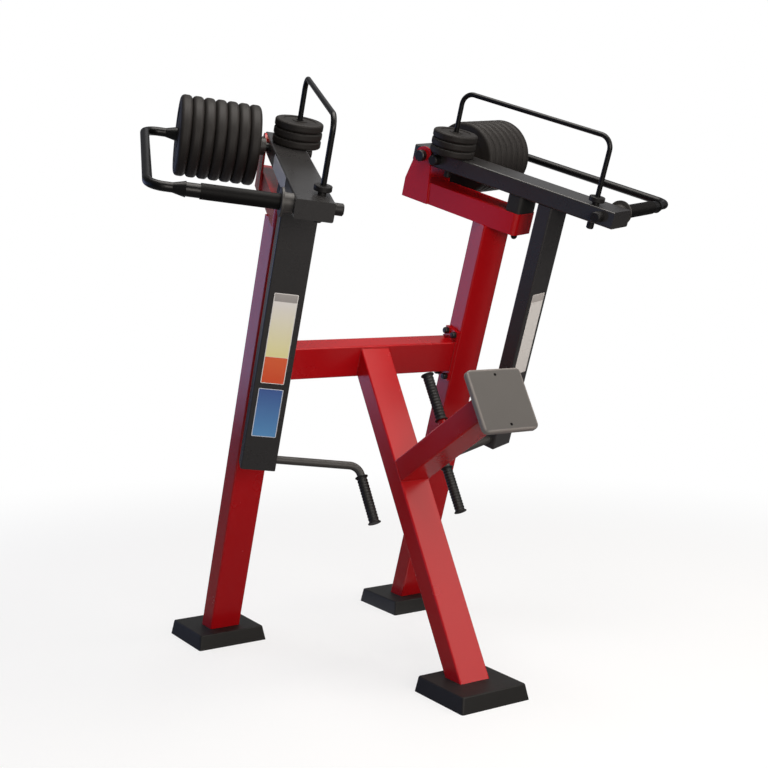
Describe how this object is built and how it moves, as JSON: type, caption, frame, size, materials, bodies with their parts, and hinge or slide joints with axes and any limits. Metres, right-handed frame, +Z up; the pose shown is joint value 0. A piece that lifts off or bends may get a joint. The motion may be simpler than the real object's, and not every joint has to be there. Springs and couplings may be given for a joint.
{
  "type": "outdoor standing row machine",
  "caption": "Free-standing outdoor standing row machine: a leaning red steel frame with a chest pad, lever arms hung on pivots, hand grips and captive weight discs on closed loops.",
  "frame": {"origin": "middle of the machine's footprint on the ground, at the centre of the bottom of its bounding box", "axes": "+Z up; the user stands on the -Y side and faces +Y; +X to the right when the machine is seen from the user's side; left and right mirror about X = 0"},
  "size_m": [2.0818, 1.4, 2.0554],
  "materials": {
    "red_powder_coat": "glossy red powder coat on steel tube",
    "black_powder_coat": "glossy black powder coat on steel tube",
    "black_steel": "satin black coated round steel",
    "steel_fastener": "stainless steel",
    "galvanised_steel": "hot-dip galvanised plate",
    "bronze_bush": "sintered bronze",
    "black_plastic": "moulded black polyamide",
    "black_rubber": "moulded black rubber",
    "grey_rubber": "moulded warm grey integral-skin foam rubber",
    "coated_iron_disc": "iron disc in a matte dark grey rubber coat"
  },
  "bodies": {
    "frame": {"left_post": "red_powder_coat", "right_post": "red_powder_coat", "crossbar": "red_powder_coat", "crossbar_bolts": "steel_fastener", "crossbar_bolt_caps": "black_plastic", "crossbar_inserts": "steel_fastener", "front_leg": "red_powder_coat", "pad_strut": "red_powder_coat", "pad_plate": "red_powder_coat", "chest_pad": "grey_rubber", "pad_screws": "steel_fastener", "fixed_handle": "red_powder_coat", "fixed_handle_grip": "black_rubber", "base_plates": "galvanised_steel", "left_foot_cover": "black_rubber", "right_foot_cover": "black_rubber", "front_foot_cover": "black_rubber", "left_bracket": "red_powder_coat", "right_bracket": "red_powder_coat", "left_pivot_ears": "red_powder_coat", "right_pivot_ears": "red_powder_coat", "left_stop_block": "black_rubber", "right_stop_block": "black_rubber", "stop_bolts": "black_steel", "pivot_pins": "steel_fastener", "pivot_pin_caps": "black_plastic"},
    "left_arm": {"left_beam": "black_powder_coat", "left_end_plates": "black_powder_coat", "left_drop_arm": "black_powder_coat", "left_pivot_hub": "black_powder_coat", "left_pivot_bushes": "bronze_bush", "left_handle": "black_powder_coat", "left_grip": "black_rubber", "left_disc_loop": "black_steel", "left_loop_sleeves": "black_plastic", "left_loop_collars": "black_steel", "left_loop_nuts": "black_steel", "left_small_loop": "black_steel", "left_small_loop_ring": "black_steel", "left_small_loop_nuts": "black_steel"},
    "left_big_discs_stack": {"left_big_discs": "coated_iron_disc"},
    "left_small_discs_stack": {"left_small_discs": "coated_iron_disc"},
    "right_arm": {"right_beam": "black_powder_coat", "right_end_plates": "black_powder_coat", "right_drop_arm": "black_powder_coat", "right_pivot_hub": "black_powder_coat", "right_pivot_bushes": "bronze_bush", "right_handle": "black_powder_coat", "right_grip": "black_rubber", "right_disc_loop": "black_steel", "right_loop_sleeves": "black_plastic", "right_loop_collars": "black_steel", "right_loop_nuts": "black_steel", "right_small_loop": "black_steel", "right_small_loop_ring": "black_steel", "right_small_loop_nuts": "black_steel"},
    "right_big_discs_stack": {"right_big_discs": "coated_iron_disc"},
    "right_small_discs_stack": {"right_small_discs": "coated_iron_disc"}
  },
  "joints": [
    {"name": "left_arm_pivot", "type": "hinge", "parent": "frame", "child": "left_arm", "pos_m": [-0.32305, 0.20532, 1.8476], "axis": [-0.9397, 0.3214, 0.117], "range_deg": [0, 40]},
    {"name": "left_big_disc_slide", "type": "slide", "parent": "left_arm", "child": "left_big_discs_stack", "axis": [-0.9397, 0.3214, 0.117], "range_m": [0, 0.055]},
    {"name": "left_small_disc_slide", "type": "slide", "parent": "left_arm", "child": "left_small_discs_stack", "axis": [0, -0.342, 0.9397], "range_m": [0, 0.09]},
    {"name": "right_arm_pivot", "type": "hinge", "parent": "frame", "child": "right_arm", "pos_m": [0.32305, 0.20532, 1.8476], "axis": [-0.9397, -0.3214, -0.117], "range_deg": [0, 40]},
    {"name": "right_big_disc_slide", "type": "slide", "parent": "right_arm", "child": "right_big_discs_stack", "axis": [0.9397, 0.3214, 0.117], "range_m": [0, 0.055]},
    {"name": "right_small_disc_slide", "type": "slide", "parent": "right_arm", "child": "right_small_discs_stack", "axis": [0, -0.342, 0.9397], "range_m": [0, 0.09]}
  ]
}
